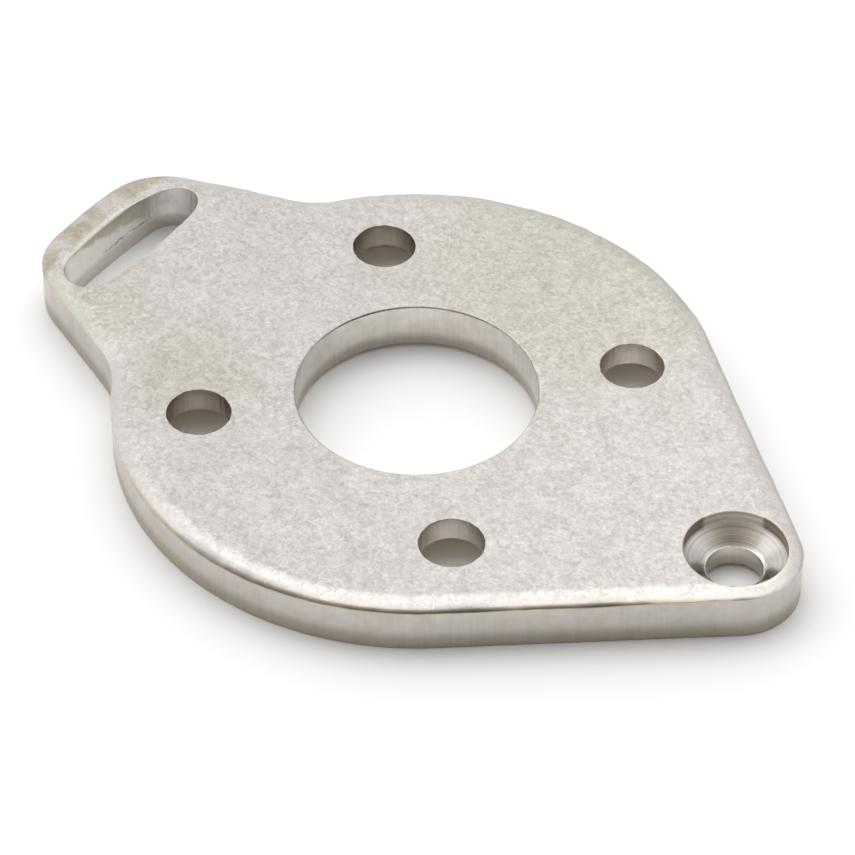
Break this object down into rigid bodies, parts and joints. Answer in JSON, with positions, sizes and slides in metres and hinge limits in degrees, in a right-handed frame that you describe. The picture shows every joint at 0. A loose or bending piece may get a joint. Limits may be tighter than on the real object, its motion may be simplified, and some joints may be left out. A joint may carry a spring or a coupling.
{
  "type": "motor mounting bracket",
  "caption": "Flat swivelling motor plate with a large bore, countersunk screw holes, a drilled pivot and a curved locking slot in an ear.",
  "frame": {"origin": "centre of the bore, on the plate's underside", "axes": "+Z along the bore axis, out of the motor face with the rolled edge; +X towards the pivot hole; the slotted ear is at -X"},
  "size_m": [0.0914, 0.0628, 0.0055],
  "materials": {
    "plated_steel": "tumbled and plated, satin, with fine scratches"
  },
  "bodies": {
    "root": {"bracket_plate": "plated_steel"}
  },
  "joints": []
}
